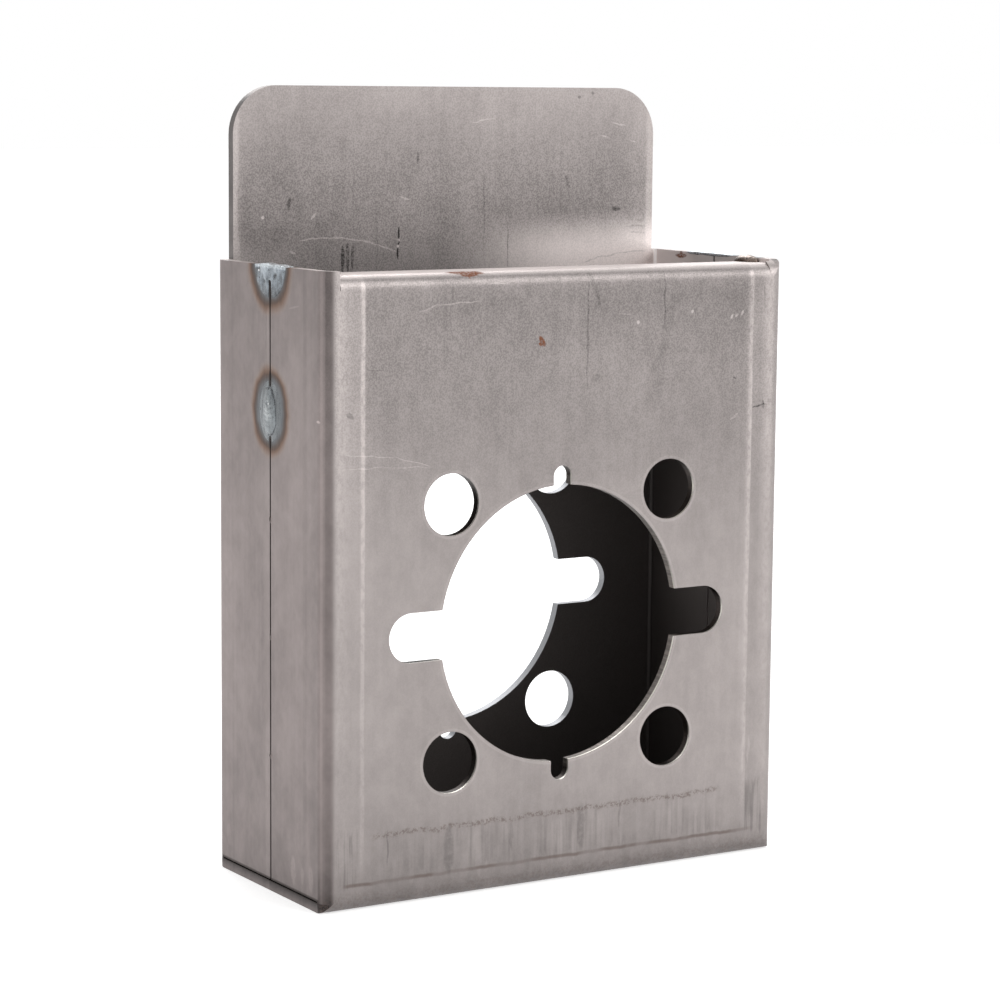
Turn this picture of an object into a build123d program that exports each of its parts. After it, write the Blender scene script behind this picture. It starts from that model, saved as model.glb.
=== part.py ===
"""Steel gate lock box, folded from one sheet and tack-welded along its side seams.

Millimetres, +Z up. X runs across the box, the lock face looks along -Y and the latch end is at the top.
The origin is the bottom centre of the box.
"""

import os

from build123d import *

os.makedirs("parts", exist_ok=True)

# Sheet
sheet = 1.9
bend_inside = 0.8
bend_outside = bend_inside + sheet

# Box, over its outer faces
box_width = 103.7
box_depth = 44.45
box_height = 120.0

# Tab that covers the latch, above the rear panel
tab_width = 97.8
tab_rise = 33.4
tab_corner = 9.5

# Lock cut-out, the same in the front and rear panels
bore_height = 51.0
bore_diameter = 53.975
slot_length = 76.2
slot_height = 9.525
notch_length = 61.4
notch_width = 4.0
bolt_circle = 69.85
bolt_hole = 11.9
bolt_count = 4
first_bolt_angle = 45

# Return flange along the top of the front panel, a little lower than the sides
flange_depth = 9.5
flange_end_gap = 1.5
flange_step = 0.8
relief_width = 0.12
relief_depth = 0.12

# Seams: between the front and rear side flanges, and between the side flanges and the web
seam_from_front = 21.4
seam_gap = 0.4
web_gap = 0.3

# Tack welds over the side seams, and the one at the free end of the return flange.
# The half width and half length are those of the bead as it lies on the sheet, the rise is its height.
middle_weld_height = 92.6
middle_weld_half_width = 3.6
middle_weld_half_length = 5.0
middle_weld_rise = 0.9
top_weld_drop = 1.6
top_weld_half_width = 5.2
top_weld_half_length = 4.2
top_weld_rise = 0.6
crown_half_length = 3.4
crown_rise = 0.5
crown_offsets = {"left": (-4.0, 2.2), "right": (1.3, 7.6)}
corner_weld_from_front = 9.1
corner_weld_half_length = 3.4
corner_weld_lap = 0.9
corner_weld_rise = 1.2

# Places that follow from the sizes
front_face = -box_depth / 2
rear_face = box_depth / 2
seam_y = front_face + seam_from_front
front_top = box_height - flange_step
flange_back = front_face + flange_depth
flange_half = box_width / 2 - sheet - flange_end_gap
corner_round = bend_outside + flange_step
clear = 1.0

# Room inside the folded sheet, with the inside radius at every bend
with BuildPart() as cavity:
    with BuildSketch():
        RectangleRounded(box_width - 2 * sheet, box_depth - 2 * sheet, bend_inside)
    extrude(amount=box_height + clear)
    with BuildSketch(Plane.YZ) as cavity_side:
        with Locations((0, sheet)):
            Rectangle(box_depth - 2 * sheet, box_height, align=(Align.CENTER, Align.MIN))
        fillet(cavity_side.vertices().group_by(Axis.Y)[0], bend_inside)
    extrude(amount=box_width, both=True, mode=Mode.INTERSECT)

# The sheet: rear panel and tab, web, front panel and return flange in one strip, with side flanges
with BuildPart() as folded_body:
    # Four upright bends from the plan, and a level bend under each panel from the side
    with BuildSketch():
        RectangleRounded(box_width, box_depth, bend_outside)
    extrude(amount=box_height)
    with BuildSketch(Plane.YZ) as body_side:
        Rectangle(box_depth, box_height, align=(Align.CENTER, Align.MIN))
        fillet(body_side.vertices().group_by(Axis.Y)[0], bend_outside)
    extrude(amount=box_width, both=True, mode=Mode.INTERSECT)
    add(cavity.part, mode=Mode.SUBTRACT)

    # Tab, straight up from the rear panel
    with BuildSketch(Plane.XZ.offset(-rear_face)) as tab_face:
        with Locations((0, box_height - bend_outside)):
            Rectangle(tab_width, tab_rise + bend_outside, align=(Align.CENTER, Align.MIN))
        fillet(tab_face.vertices().group_by(Axis.Y)[-1], tab_corner)
    extrude(amount=sheet)

    # Top front corner at the right, ground to a round that runs on from the bend of the flange
    with BuildSketch(Plane.YZ.offset(flange_half)):
        with Locations((front_face - clear, box_height - corner_round)):
            Rectangle(corner_round + clear, corner_round + clear, align=(Align.MIN, Align.MIN))
        with Locations((front_face + corner_round, box_height - corner_round)):
            Circle(corner_round, mode=Mode.SUBTRACT)
    extrude(amount=box_width / 2, mode=Mode.SUBTRACT)

    # Front panel cut down between its upright bends, and the return flange bent back from there
    relief_bottom = front_top - bend_outside - relief_depth
    with Locations((0, front_face + sheet / 2, relief_bottom)):
        Box(
            2 * (flange_half + relief_width),
            sheet,
            box_height - relief_bottom,
            align=(Align.CENTER, Align.CENTER, Align.MIN),
            mode=Mode.SUBTRACT,
        )
    with BuildSketch(Plane.YZ) as flange_strip:
        with BuildLine():
            FilletPolyline(
                (front_face, relief_bottom),
                (front_face, front_top),
                (flange_back, front_top),
                radius=bend_outside,
            )
            offset(amount=sheet, side=Side.RIGHT)
        make_face()
    extrude(amount=flange_half, both=True)

    # Lock cut-out, straight through both panels
    with BuildSketch(Plane.XZ):
        with Locations((0, bore_height)):
            Circle(bore_diameter / 2)
            SlotOverall(slot_length, slot_height)
            SlotOverall(notch_length, notch_width, rotation=90)
            with PolarLocations(bolt_circle / 2, bolt_count, start_angle=first_bolt_angle):
                Circle(bolt_hole / 2)
    extrude(amount=box_depth, both=True, mode=Mode.SUBTRACT)

    # Upright seam in each side, and the slit between each side and the edge of the web
    with GridLocations(box_width - sheet, 0, 2, 1):
        with Locations((0, seam_y, sheet)):
            Box(
                sheet,
                seam_gap,
                box_height,
                align=(Align.CENTER, Align.CENTER, Align.MIN),
                mode=Mode.SUBTRACT,
            )
        with Locations((0, 0, sheet)):
            Box(
                sheet,
                box_depth - 2 * bend_outside,
                web_gap,
                align=(Align.CENTER, Align.CENTER, Align.MIN),
                mode=Mode.SUBTRACT,
            )

folded_body.part.label = "folded_body"
export_step(folded_body.part, "parts/folded_body.step")


def bead(seat, half_length, half_width, rise):
    """Return the weld metal that lies on a surface.

    The seat is a plane with its origin at the middle of the bead, its X axis along the bead and its
    Y axis straight out of the surface. The crown is an arc, turned about an axis under the surface
    that lies deep enough for the bead to spread half_width to each side.
    """
    axis_depth = (half_width**2 - rise**2) / (2 * rise)
    with BuildPart() as metal:
        with BuildSketch(seat):
            with BuildLine():
                ThreePointArc((-half_length, 0), (0, rise), (half_length, 0))
                Line((half_length, 0), (-half_length, 0))
            make_face()
        revolve(axis=Axis(seat.from_local_coords((0, -axis_depth, 0)), seat.x_dir))
        surface = Plane(origin=seat.origin, z_dir=seat.y_dir)
        split(bisect_by=surface, keep=Keep.TOP)
    return metal.part


# Tack welds over the seam in each side: one below the top, and one that runs over the top edge
for side, side_name in ((-1, "left"), (1, "right")):
    outer_wall = side * box_width / 2
    wall_middle = side * (box_width - sheet) / 2
    upright = {"x_dir": (0, 0, 1), "z_dir": (0, side, 0)}

    with BuildPart() as middle_weld:
        middle_seat = Plane(origin=(outer_wall, seam_y, middle_weld_height), **upright)
        add(bead(middle_seat, middle_weld_half_length, middle_weld_half_width, middle_weld_rise))
        with Locations((wall_middle, seam_y, middle_weld_height)):
            Box(sheet, seam_gap, 2 * middle_weld_half_length)
    middle_weld.part.label = f"{side_name}_seam_weld_middle"
    export_step(middle_weld.part, f"parts/{side_name}_seam_weld_middle.step")

    with BuildPart() as top_weld:
        top_middle = box_height - top_weld_drop
        top_seat = Plane(origin=(outer_wall, seam_y, top_middle), **upright)
        add(bead(top_seat, top_weld_half_length, top_weld_half_width, top_weld_rise))
        split(bisect_by=Plane.XY.offset(box_height), keep=Keep.BOTTOM)
        with Locations((wall_middle, seam_y, box_height)):
            Box(
                sheet,
                seam_gap,
                top_weld_drop + top_weld_half_length,
                align=(Align.CENTER, Align.CENTER, Align.MAX),
            )
        for offset_from_seam in crown_offsets[side_name]:
            crown_seat = Plane(
                origin=(wall_middle, seam_y + offset_from_seam, box_height),
                x_dir=(0, 1, 0),
                z_dir=(1, 0, 0),
            )
            add(bead(crown_seat, crown_half_length, sheet / 2, crown_rise))
    top_weld.part.label = f"{side_name}_seam_weld_top"
    export_step(top_weld.part, f"parts/{side_name}_seam_weld_top.step")

# Weld between the right side and the end of the return flange: the gap is filled, with a bead on top
with BuildPart() as corner_weld:
    gap_middle = flange_half + flange_end_gap / 2
    corner_seat = Plane(
        origin=(gap_middle, front_face + corner_weld_from_front, front_top),
        x_dir=(0, 1, 0),
        z_dir=(1, 0, 0),
    )
    corner_weld_half_width = flange_end_gap / 2 + corner_weld_lap
    add(bead(corner_seat, corner_weld_half_length, corner_weld_half_width, corner_weld_rise))
    with BuildSketch(Plane.YZ.offset(flange_half)):
        add(flange_strip.sketch_local)
    extrude(amount=flange_end_gap)
    with BuildSketch():
        RectangleRounded(box_width, box_depth, bend_outside)
    extrude(amount=box_height + clear, mode=Mode.INTERSECT)
    add(folded_body.part, mode=Mode.SUBTRACT)
corner_weld.part.label = "right_flange_weld"
export_step(corner_weld.part, "parts/right_flange_weld.step")
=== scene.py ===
"""Looks of a steel gate lock box: mill-finish sheet, press-brake marks, tack welds and a plain studio.

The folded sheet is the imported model's own mesh with a bare-steel finish. The tack welds are built here as
rippled beads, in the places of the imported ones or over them. Sizes are in millimetres, in the frame of the
box: X to the right, the lock face along -Y, Z up to the latch end, origin at the bottom centre.
"""

import logging
import math
from dataclasses import dataclass
from enum import Enum

import bpy
import numpy as np
from mathutils import Matrix, Vector


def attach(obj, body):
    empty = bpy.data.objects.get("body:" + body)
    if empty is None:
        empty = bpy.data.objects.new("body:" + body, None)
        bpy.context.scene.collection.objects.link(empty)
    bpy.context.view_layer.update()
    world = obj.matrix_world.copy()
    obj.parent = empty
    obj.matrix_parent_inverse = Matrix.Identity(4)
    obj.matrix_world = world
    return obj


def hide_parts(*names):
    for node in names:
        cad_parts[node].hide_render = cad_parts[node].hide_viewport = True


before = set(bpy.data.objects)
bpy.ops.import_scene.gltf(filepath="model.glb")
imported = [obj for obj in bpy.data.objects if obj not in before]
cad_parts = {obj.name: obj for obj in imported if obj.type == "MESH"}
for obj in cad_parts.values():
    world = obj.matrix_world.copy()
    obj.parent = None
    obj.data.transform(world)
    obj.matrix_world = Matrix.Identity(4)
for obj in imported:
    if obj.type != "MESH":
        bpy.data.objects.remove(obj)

MM = 0.001
BUMP_STRENGTH = 0.6
BEAD_RIM = 0.985
MIDDLE_WELD_HEIGHT = 92.6
log = logging.getLogger("gate_lock_box")

Socket = bpy.types.NodeSocket
Value = float | Socket
Colour = tuple[float, float, float]
Point = tuple[float, float, float]
Spot = tuple[float, float]


class Slot(Enum):
    """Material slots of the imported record."""

    STEEL = "bare_steel"
    WELD = "weld_metal"


class Face(Enum):
    """Sheet faces that carry marks of their own."""

    FRONT = "front panel, outside"
    TAB = "tab and rear panel, latch side"
    LEFT = "left side, outside"
    RIGHT_INSIDE = "right side, inside"


class Side(Enum):
    """The two sides of the box, with the direction out of each along X."""

    LEFT = -1
    RIGHT = 1


@dataclass(frozen=True)
class BoxSizes:
    """Sizes of the folded box that the marks and welds are placed by."""

    width: float = 103.7
    depth: float = 44.45
    height: float = 120.0
    sheet: float = 1.9
    front_top: float = 119.2
    seam_from_front: float = 21.4
    bore_height: float = 51.0
    bolt_offset: float = 24.696

    @property
    def half_width(self) -> float:
        """Half the width over the outer faces."""
        return self.width / 2

    @property
    def half_depth(self) -> float:
        """Half the depth over the outer faces."""
        return self.depth / 2

    @property
    def seam_y(self) -> float:
        """Place of the upright seams along Y."""
        return self.seam_from_front - self.half_depth


BOX = BoxSizes()


class Graph:
    """Builds a node tree from short calls, each of which returns its result socket."""

    def __init__(self, tree: bpy.types.NodeTree) -> None:
        """Start on an emptied tree.

        Args:
            tree: the node tree to fill.
        """
        self.tree = tree
        tree.nodes.clear()

    def node(self, kind: str, **settings: object) -> bpy.types.Node:
        """Add a node.

        Args:
            kind: Blender's name of the node type.
            settings: attributes to set on the new node.

        Returns:
            The new node.
        """
        made = self.tree.nodes.new(kind)
        for name, value in settings.items():
            setattr(made, name, value)
        return made

    def feed(self, socket: Socket, value: Value | Colour) -> None:
        """Link a socket to another, or set it to a constant.

        Args:
            socket: the input.
            value: an output socket, a number, or a triple for a vector or a colour.
        """
        if isinstance(value, Socket):
            self.tree.links.new(value, socket)
        elif isinstance(value, tuple) and socket.type == "RGBA":
            socket.default_value = (*value, 1.0)
        else:
            socket.default_value = value

    def math(self, operation: str, *terms: Value, clamp: bool = False) -> Socket:
        """Take one arithmetic step.

        Args:
            operation: Blender's name of the step.
            terms: one to three terms.
            clamp: whether the result is held to 0 to 1.

        Returns:
            The result.
        """
        made = self.node("ShaderNodeMath", operation=operation, use_clamp=clamp)
        for socket, term in zip(made.inputs, terms):
            self.feed(socket, term)
        return made.outputs[0]

    def add(self, *terms: Value) -> Socket:
        """Add terms up.

        Args:
            terms: numbers or sockets.

        Returns:
            Their sum.
        """
        total = terms[0]
        for term in terms[1:]:
            total = self.math("ADD", total, term)
        return total

    def times(self, *terms: Value) -> Socket:
        """Multiply terms.

        Args:
            terms: numbers or sockets.

        Returns:
            Their product.
        """
        product = terms[0]
        for term in terms[1:]:
            product = self.math("MULTIPLY", product, term)
        return product

    def size(self, value: Value) -> Socket:
        """Return a value without its sign."""
        return self.math("ABSOLUTE", value)

    def rest(self, share: Value) -> Socket:
        """Return what a share leaves of 1."""
        return self.math("SUBTRACT", 1.0, share)

    def vector(self, operation: str, *terms: Socket | Point) -> Socket:
        """Take one vector step.

        Args:
            operation: Blender's name of the step.
            terms: the vectors.

        Returns:
            The result, a vector or a number.
        """
        made = self.node("ShaderNodeVectorMath", operation=operation)
        for socket, term in zip(made.inputs, terms):
            self.feed(socket, term)
        scalar = operation in {"DOT_PRODUCT", "LENGTH", "DISTANCE"}
        return made.outputs["Value" if scalar else "Vector"]

    def scaled(self, vector: Socket, factor: Value) -> Socket:
        """Scale a vector.

        Args:
            vector: the vector or colour.
            factor: the number.

        Returns:
            Their product.
        """
        made = self.node("ShaderNodeVectorMath", operation="SCALE")
        self.feed(made.inputs[0], vector)
        self.feed(made.inputs["Scale"], factor)
        return made.outputs["Vector"]

    def split(self, vector: Socket) -> tuple[Socket, Socket, Socket]:
        """Take a vector apart.

        Args:
            vector: the vector.

        Returns:
            Its three parts.
        """
        made = self.node("ShaderNodeSeparateXYZ")
        self.feed(made.inputs[0], vector)
        return made.outputs[0], made.outputs[1], made.outputs[2]

    def join(self, x: Value, y: Value, z: Value) -> Socket:
        """Put a vector together.

        Args:
            x: its first part.
            y: its second part.
            z: its third part.

        Returns:
            The vector.
        """
        made = self.node("ShaderNodeCombineXYZ")
        for socket, part in zip(made.inputs, (x, y, z)):
            self.feed(socket, part)
        return made.outputs[0]

    def rise(self, value: Value, low: float, high: float, to: tuple[float, float] = (0.0, 1.0)) -> Socket:
        """Return a smooth step of a value.

        Args:
            value: what is measured.
            low: where the step starts.
            high: where it ends; below low it runs the other way.
            to: results at the two ends.

        Returns:
            A number that goes from the first to the second result.
        """
        made = self.node("ShaderNodeMapRange", interpolation_type="SMOOTHSTEP")
        for socket, part in zip(made.inputs, (value, low, high, *to)):
            self.feed(socket, part)
        return made.outputs[0]

    def band(self, value: Value, middle: float, half_width: float, soft: float) -> Socket:
        """Return 1 within half_width of the middle, falling to 0 over the soft margin."""
        off = self.size(self.math("SUBTRACT", value, middle))
        return self.rise(off, half_width + soft, half_width)

    def noise(self, place: Socket, stretch: Point, detail: float = 2.0, rough: float = 0.5) -> Socket:
        """Return noise of 0 to 1.

        Args:
            place: where it is read, in millimetres.
            stretch: size of its patches along each axis, in millimetres.
            detail: number of finer layers.
            rough: weight of the finer layers.

        Returns:
            The noise, with its middle near 0.5.
        """
        made = self.node("ShaderNodeTexNoise")
        fine = self.vector("MULTIPLY", place, tuple(1.0 / size for size in stretch))
        self.feed(made.inputs["Vector"], fine)
        for name, part in (("Scale", 1.0), ("Detail", detail), ("Roughness", rough)):
            self.feed(made.inputs[name], part)
        return made.outputs["Fac"]

    def swing(self, noise: Socket, amount: float) -> Socket:
        """Return noise turned into a swing of about -amount to +amount."""
        return self.rise(noise, 0.25, 0.75, (-amount, amount))

    def profile(self, value: Value, stops: tuple[tuple[float, float], ...]) -> Socket:
        """Return a tone read along a line.

        Args:
            value: where on the line.
            stops: (place, tone) pairs in rising order, with tones of -1 to 1.

        Returns:
            The tone, straight between the stops and level past the ends.
        """
        low, high = stops[0][0], stops[-1][0]
        made = self.node("ShaderNodeMapRange")
        for socket, part in zip(made.inputs, (value, low, high, 0.0, 1.0)):
            self.feed(socket, part)
        shades = tuple(((at - low) / (high - low), ((tone + 1) / 2,) * 3) for at, tone in stops)
        return self.math("MULTIPLY_ADD", self.ramp(made.outputs[0], shades), 2.0, -1.0)

    def blend(self, factor: Value, first: Socket | Colour, second: Socket | Colour) -> Socket:
        """Mix two colours.

        Args:
            factor: share of the second.
            first: the colour at 0.
            second: the colour at 1.

        Returns:
            The mix.
        """
        made = self.node("ShaderNodeMix", data_type="RGBA")
        self.feed(made.inputs[0], factor)
        self.feed(made.inputs[6], first)
        self.feed(made.inputs[7], second)
        return made.outputs[2]

    def ramp(self, value: Value, stops: tuple[tuple[float, Colour], ...]) -> Socket:
        """Read a colour from a row of stops.

        Args:
            value: where on the row, from 0 to 1.
            stops: (place, colour) pairs in rising order.

        Returns:
            The colour.
        """
        made = self.node("ShaderNodeValToRGB")
        self.feed(made.inputs[0], value)
        points = made.color_ramp.elements
        while len(points) < len(stops):
            points.new(1.0)
        for point, (at, colour) in zip(points, stops):
            point.position = at
            point.color = (*colour, 1.0)
        return made.outputs[0]


@dataclass(frozen=True)
class Mark:
    """A scratch, line or spot on one face of the sheet.

    The path runs through (across, up) points: across is X from the left outer face on the front and
    rear panels, and Y from the front face on the sides. Up is the height over the bottom.
    """

    face: Face
    path: tuple[Spot, ...]
    half_width: float
    tone: float

    def legs(self) -> list[tuple[Spot, Spot]]:
        """Return the straight legs of the path, or one leg of no length for a spot."""
        return list(zip(self.path, self.path[1:])) or [(self.path[0], self.path[0])]


class Stencil(Enum):
    """Node groups that lay one leg of a mark on a sheet face, as a long ellipse with a soft edge."""

    UPRIGHT = "mark_along_an_axis"
    SLANTED = "mark_at_a_slant"

    def group(self) -> bpy.types.NodeTree:
        """Find the group, or build it the first time it is asked for.

        Returns:
            The group.
        """
        if self.value in bpy.data.node_groups:
            return bpy.data.node_groups[self.value]
        tree = bpy.data.node_groups.new(self.value, "ShaderNodeTree")
        for name in ("Face", "Along", "Across"):
            tree.interface.new_socket(name=name, in_out="INPUT", socket_type="NodeSocketVector")
        for name in ("Along middle", "Across middle", "Tone", "Tone so far"):
            tree.interface.new_socket(name=name, in_out="INPUT", socket_type="NodeSocketFloat")
        tree.interface.new_socket(name="Tone", in_out="OUTPUT", socket_type="NodeSocketFloat")
        graph = Graph(tree)
        given = graph.node("NodeGroupInput").outputs
        face, along, across, along_middle, across_middle, tone, so_far = given[:7]
        if self is Stencil.UPRIGHT:
            made = graph.node("ShaderNodeVectorMath", operation="MULTIPLY_ADD")
            for socket, part in zip(made.inputs, (face, along, across)):
                graph.feed(socket, part)
            off = graph.vector("DOT_PRODUCT", made.outputs[0], made.outputs[0])
        else:
            u = graph.math("SUBTRACT", graph.vector("DOT_PRODUCT", face, along), along_middle)
            v = graph.math("SUBTRACT", graph.vector("DOT_PRODUCT", face, across), across_middle)
            off = graph.math("MULTIPLY_ADD", u, u, graph.times(v, v))
        mask = graph.math("MULTIPLY_ADD", off, -1.3, 1.75, clamp=True)
        laid = graph.math("MULTIPLY_ADD", mask, tone, so_far)
        graph.feed(graph.node("NodeGroupOutput").inputs[0], laid)
        return tree

    @classmethod
    def lay(cls, graph: Graph, face: Socket, leg: tuple[Spot, Spot], mark: Mark, so_far: Value) -> Socket:
        """Lay one leg.

        Args:
            graph: the tree that uses the group.
            face: (across, up, 0) in millimetres.
            leg: the two ends of the leg.
            mark: the mark that it belongs to.
            so_far: tone of the legs before it.

        Returns:
            The tone with this leg's added.
        """
        (x0, y0), (x1, y1) = leg
        middle = ((x0 + x1) / 2, (y0 + y1) / 2)
        length = math.hypot(x1 - x0, y1 - y0)
        along = ((x1 - x0) / length, (y1 - y0) / length) if length else (1.0, 0.0)
        long, wide = length / 2 + mark.half_width, mark.half_width
        if min(abs(along[0]), abs(along[1])) < 0.02:
            kind = cls.UPRIGHT
            sizes = (long, wide) if abs(along[0]) > abs(along[1]) else (wide, long)
            first = (1.0 / sizes[0], 1.0 / sizes[1], 0.0)
            second = (-middle[0] / sizes[0], -middle[1] / sizes[1], 0.0)
            middles = (0.0, 0.0)
        else:
            kind = cls.SLANTED
            first = (along[0] / long, along[1] / long, 0.0)
            second = (-along[1] / wide, along[0] / wide, 0.0)
            middles = tuple(axis[0] * middle[0] + axis[1] * middle[1] for axis in (first, second))
        made = graph.node("ShaderNodeGroup", node_tree=kind.group())
        for socket, part in zip(made.inputs, (face, first, second, *middles, mark.tone, so_far)):
            graph.feed(socket, part)
        return made.outputs[0]


@dataclass(frozen=True)
class Heat:
    """A place where welding has coloured the sheet, with the half width and half height of the stain."""

    centre: Point
    half_width: float
    half_height: float


class Finish:
    """A surface finish that becomes one Blender material."""

    title = "finish"

    def dress(self, graph: Graph, shader: bpy.types.Node) -> None:
        """Fill the shader's inputs; each finish does its own."""
        raise NotImplementedError

    def emboss(self, graph: Graph, shader: bpy.types.Node, height: Socket) -> None:
        """Raise the surface that the light sees.

        Args:
            graph: the material's tree.
            shader: its principled shader.
            height: how far, in millimetres.
        """
        bump = graph.node("ShaderNodeBump")
        graph.feed(bump.inputs["Strength"], BUMP_STRENGTH)
        graph.feed(bump.inputs["Distance"], MM)
        graph.feed(bump.inputs["Height"], height)
        graph.feed(shader.inputs["Normal"], bump.outputs[0])

    def material(self) -> bpy.types.Material:
        """Find this finish's material, or build it the first time it is asked for.

        Returns:
            The material.
        """
        found = bpy.data.materials.get(self.title)
        if found:
            return found
        made = bpy.data.materials.new(self.title)
        made.use_nodes = True
        graph = Graph(made.node_tree)
        shader = graph.node("ShaderNodeBsdfPrincipled")
        self.dress(graph, shader)
        graph.feed(graph.node("ShaderNodeOutputMaterial").inputs["Surface"], shader.outputs[0])
        return made


@dataclass(frozen=True)
class Surface:
    """Where a shader is on the box: place in millimetres and direction out of the surface."""

    point: Socket
    x: Socket
    y: Socket
    z: Socket
    out_x: Socket
    out_y: Socket
    out_z: Socket

    @classmethod
    def read(cls, graph: Graph) -> "Surface":
        """Read the place and the direction.

        Args:
            graph: the tree.

        Returns:
            Both, as sockets of this tree.
        """
        found = graph.node("ShaderNodeTexCoord").outputs
        point = graph.scaled(found["Object"], 1.0 / MM)
        return cls(point, *graph.split(point), *graph.split(found["Normal"]))

    def across(self, graph: Graph) -> Socket:
        """Return how far the place lies to the right of the left outer face."""
        return graph.add(self.x, BOX.half_width)

    def on(self, graph: Graph, face: Face) -> Socket:
        """Pick out one face of the sheet.

        Args:
            graph: the tree.
            face: the face.

        Returns:
            1 on the face and 0 elsewhere.
        """
        out, place, low, high = {
            Face.FRONT: (self.out_y, self.y, -19.0, -19.4),
            Face.TAB: (self.out_y, self.y, 19.0, 19.4),
            Face.LEFT: (self.out_x, self.x, -49.0, -49.4),
            Face.RIGHT_INSIDE: (self.out_x, self.x, 49.0, 49.4),
        }[face]
        facing = graph.rise(out, 0.0, -0.2) if face is Face.FRONT else graph.rise(out, -0.15, -0.5)
        return graph.times(facing, graph.rise(place, low, high))

    def flat(self, graph: Graph, face: Face) -> Socket:
        """Read the place on a face, a little wavy so that lines aren't ruled.

        Args:
            graph: the tree.
            face: the face.

        Returns:
            The place as (across, up, 0).
        """
        wave = graph.swing(graph.noise(self.point, (2.4, 2.4, 2.4), 1.0), 0.16)
        if face in {Face.LEFT, Face.RIGHT_INSIDE}:
            across = graph.add(self.y, wave, BOX.half_depth)
        else:
            across = graph.add(self.x, wave, BOX.half_width)
        return graph.join(across, graph.math("SUBTRACT", self.z, wave), 0.0)


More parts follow.
